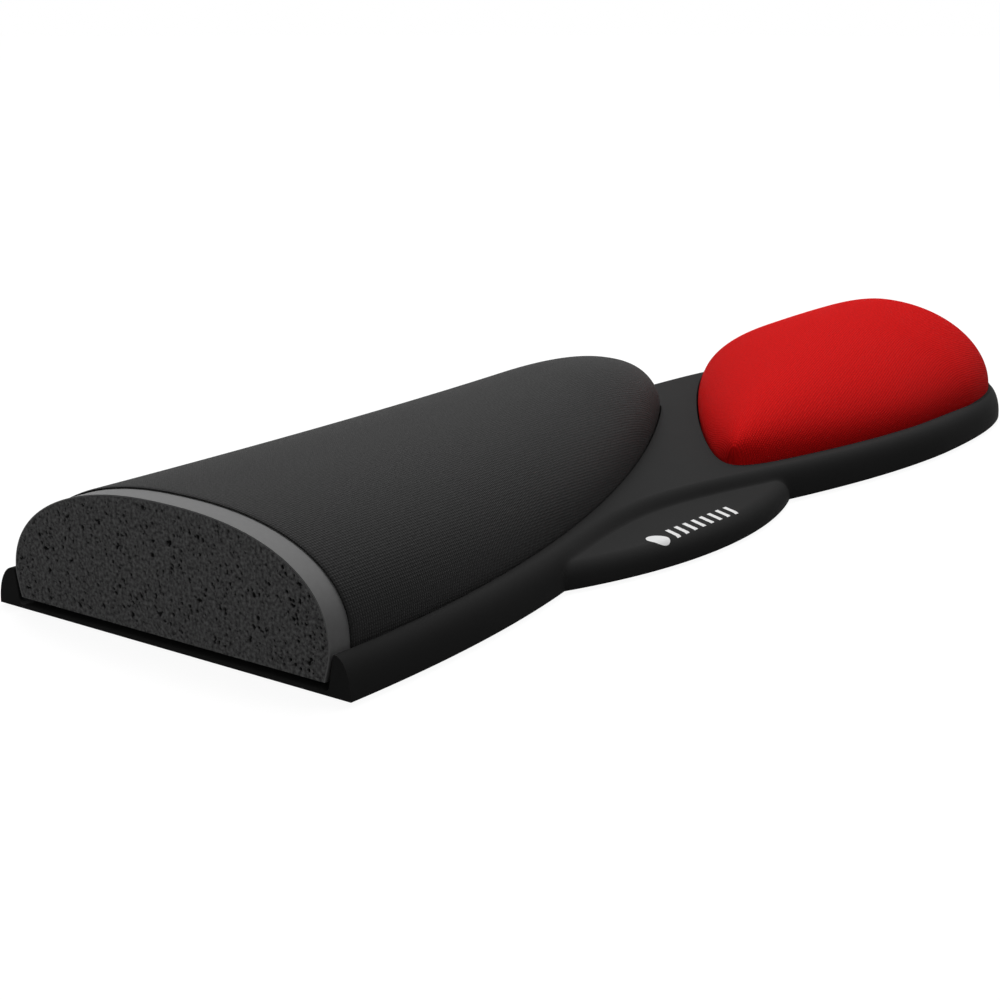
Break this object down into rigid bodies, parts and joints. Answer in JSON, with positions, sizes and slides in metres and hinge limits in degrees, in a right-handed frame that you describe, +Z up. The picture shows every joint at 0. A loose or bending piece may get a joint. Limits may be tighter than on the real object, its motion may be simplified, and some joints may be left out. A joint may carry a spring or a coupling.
{
  "type": "wrist rest",
  "caption": "Wrist rest: a low dark tray carries a black knit keyboard pad, sectioned flat at one end to show its foam, and a red knit palm pad.",
  "frame": {"origin": "middle of the length and the depth, on the surface the feet stand on", "axes": "+X from the sectioned end to the palm end, +Y from the user to the back edge, +Z up"},
  "size_m": [0.2988, 0.091, 0.0288],
  "materials": {
    "tray": "fine matte, charcoal",
    "black_knit": "fine smooth knit, black",
    "red_knit": "fine smooth knit, red",
    "lining": "smooth thin grey layer",
    "foam": "open-pore foam, dark grey",
    "board": "matte, black",
    "adhesive": "thin double-sided film, black",
    "feet": "soft matte, black"
  },
  "bodies": {
    "root": {"tray": "tray", "main_pad_cover": "black_knit", "main_pad_lining": "lining", "main_pad_core": "foam", "main_pad_board": "board", "main_pad_adhesive": "adhesive", "palm_pad_cover": "red_knit", "palm_pad_lining": "lining", "palm_pad_core": "foam", "palm_pad_board": "board", "palm_pad_adhesive": "adhesive", "foot_1": "feet", "foot_2": "feet", "foot_3": "feet", "foot_4": "feet", "foot_5": "feet", "foot_6": "feet"}
  },
  "joints": []
}
